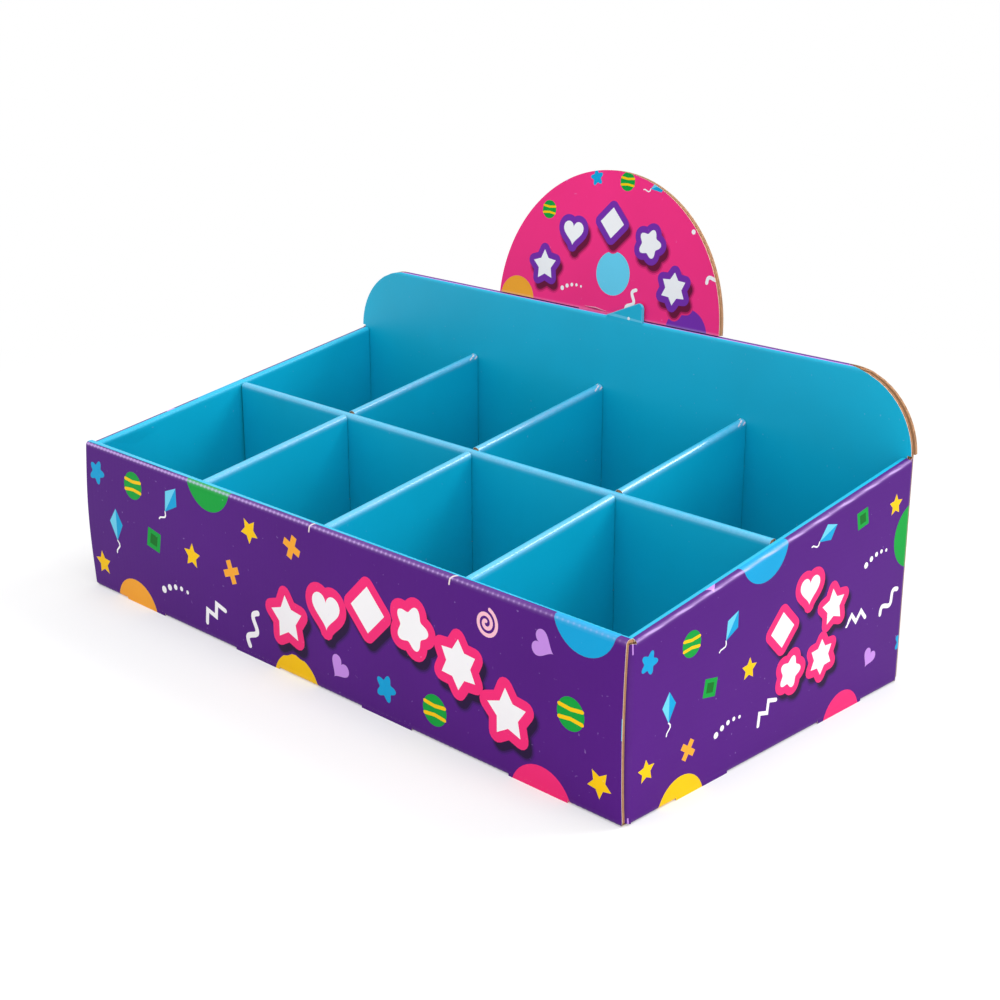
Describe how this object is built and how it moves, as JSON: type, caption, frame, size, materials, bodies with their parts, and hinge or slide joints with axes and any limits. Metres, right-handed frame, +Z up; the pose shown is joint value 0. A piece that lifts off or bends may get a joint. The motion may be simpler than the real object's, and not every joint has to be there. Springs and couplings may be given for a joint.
{
  "type": "counter display box",
  "caption": "Folded corrugated counter display tray with interlocking dividers, sloping side walls, a tall rounded back wall and a half-round header card leaning back in a slit.",
  "frame": {"origin": "centre of the tray's footprint, on its underside, where the box stands on a counter", "axes": "+X along the front wall to the viewer's right, +Y from the front wall to the back wall, +Z up"},
  "size_m": [0.4, 0.2215, 0.2341],
  "materials": {
    "printed_tray": "satin varnished print, purple outside and teal inside, raw kraft cut edges",
    "divider_board": "satin varnished teal print, raw kraft cut edges",
    "header_board": "satin varnished pink print, raw kraft cut edges"
  },
  "bodies": {
    "root": {"tray": "printed_tray", "long_divider_1": "divider_board", "cross_divider_1": "divider_board", "cross_divider_2": "divider_board", "cross_divider_3": "divider_board", "header_card": "header_board"}
  },
  "joints": []
}
